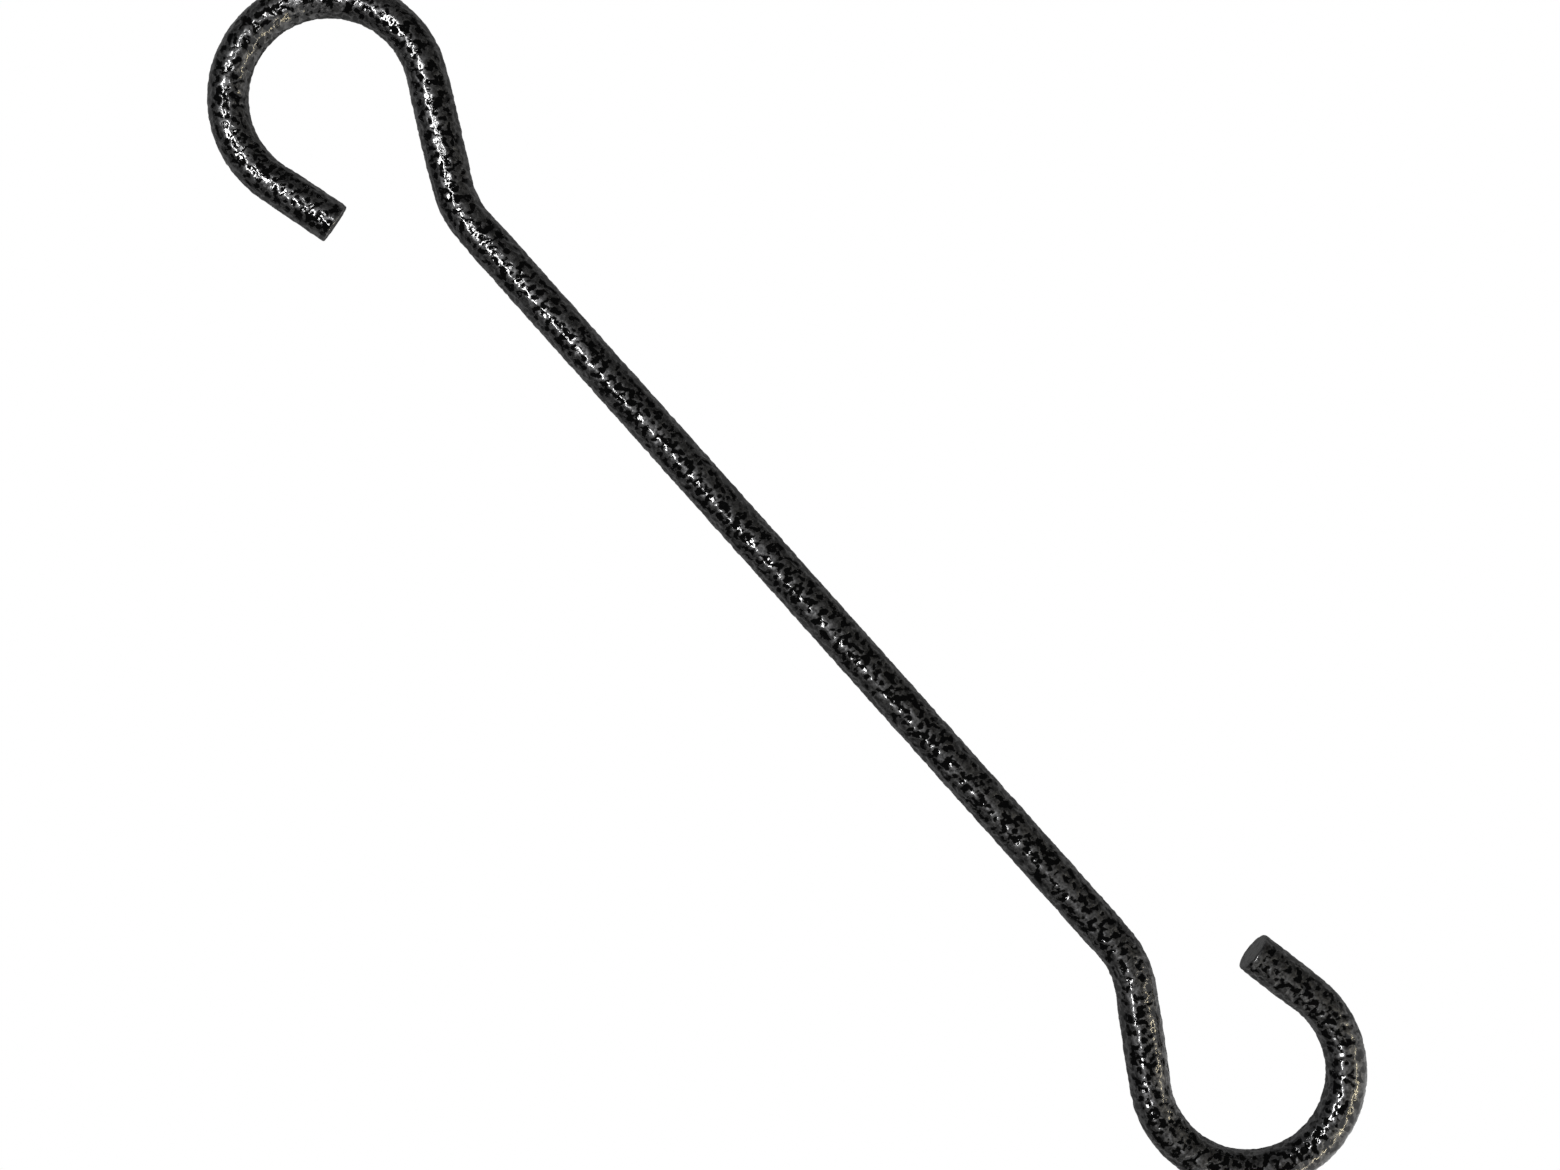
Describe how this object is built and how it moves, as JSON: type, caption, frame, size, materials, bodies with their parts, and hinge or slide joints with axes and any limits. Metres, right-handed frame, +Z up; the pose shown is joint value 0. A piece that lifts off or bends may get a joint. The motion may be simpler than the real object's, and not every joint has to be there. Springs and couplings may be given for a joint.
{
  "type": "hanging hook",
  "caption": "Long S-shaped hanging hook: a round bar with a straight shank and an open eye bent at each end, which hangs a basket, feeder or pot below its support.",
  "frame": {"origin": "the upper seat: the highest point inside the upper eye, where the hook hangs from its support", "axes": "+Z up along the load line through the middles of both eyes, X across the eyes in the bending plane with the upper free end on the -X side, Y along the bar's thickness"},
  "size_m": [0.0468, 0.008, 0.3046],
  "materials": {
    "hammered_black": "glossy black hammer-finish coat with a fine mottled relief"
  },
  "bodies": {
    "root": {"hook": "hammered_black"}
  },
  "joints": []
}
